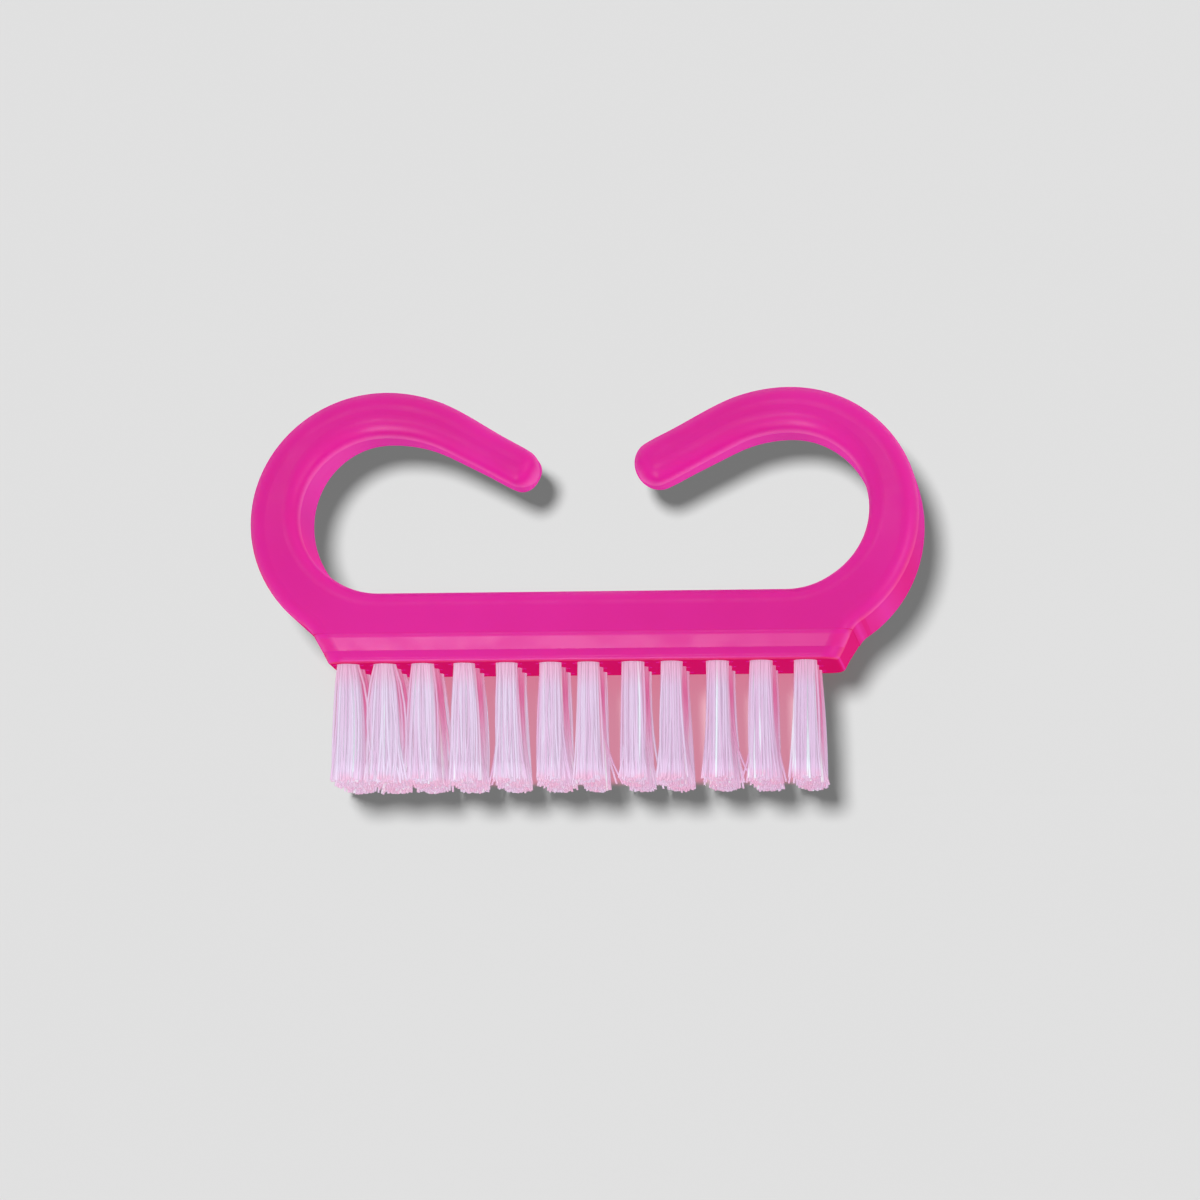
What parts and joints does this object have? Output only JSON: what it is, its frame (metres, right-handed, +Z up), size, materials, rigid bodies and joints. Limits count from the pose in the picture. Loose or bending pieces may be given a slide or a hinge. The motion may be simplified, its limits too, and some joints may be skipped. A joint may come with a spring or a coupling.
{
  "type": "nail brush",
  "caption": "Hand-held nail brush: pink moulded bar with two curled finger horns, and pale nylon tufts in rows held by wire anchors under it",
  "frame": {"origin": "on the floor that the bristle tips stand on, under the middle of the handle", "axes": "+X along the brush to the fuller horn, +Y from the front side to the back side, +Z up from the bristle tips to the horns"},
  "size_m": [0.0646, 0.0136, 0.0385],
  "materials": {
    "handle_plastic": "glossy, slightly translucent injection-moulded plastic",
    "bristle_nylon": "clear pale nylon filament with a pink cast from the handle",
    "anchor_wire": "bright flat wire, cut ends"
  },
  "bodies": {
    "root": {"handle": "handle_plastic", "tuft_front_01": "bristle_nylon", "tuft_front_02": "bristle_nylon", "tuft_front_03": "bristle_nylon", "tuft_front_04": "bristle_nylon", "tuft_front_05": "bristle_nylon", "tuft_front_06": "bristle_nylon", "tuft_front_07": "bristle_nylon", "tuft_front_08": "bristle_nylon", "tuft_front_09": "bristle_nylon", "tuft_front_10": "bristle_nylon", "tuft_front_11": "bristle_nylon", "tuft_front_12": "bristle_nylon", "tuft_middle_01": "bristle_nylon", "tuft_middle_02": "bristle_nylon", "tuft_middle_03": "bristle_nylon", "tuft_middle_04": "bristle_nylon", "tuft_middle_05": "bristle_nylon", "tuft_middle_06": "bristle_nylon", "tuft_middle_07": "bristle_nylon", "tuft_middle_08": "bristle_nylon", "tuft_middle_09": "bristle_nylon", "tuft_middle_10": "bristle_nylon", "tuft_middle_11": "bristle_nylon", "tuft_middle_12": "bristle_nylon", "tuft_back_01": "bristle_nylon", "tuft_back_02": "bristle_nylon", "tuft_back_03": "bristle_nylon", "tuft_back_04": "bristle_nylon", "tuft_back_05": "bristle_nylon", "tuft_back_06": "bristle_nylon", "tuft_back_07": "bristle_nylon", "tuft_back_08": "bristle_nylon", "tuft_back_09": "bristle_nylon", "tuft_back_10": "bristle_nylon", "tuft_back_11": "bristle_nylon", "tuft_back_12": "bristle_nylon", "tuft_anchors": "anchor_wire"}
  },
  "joints": []
}
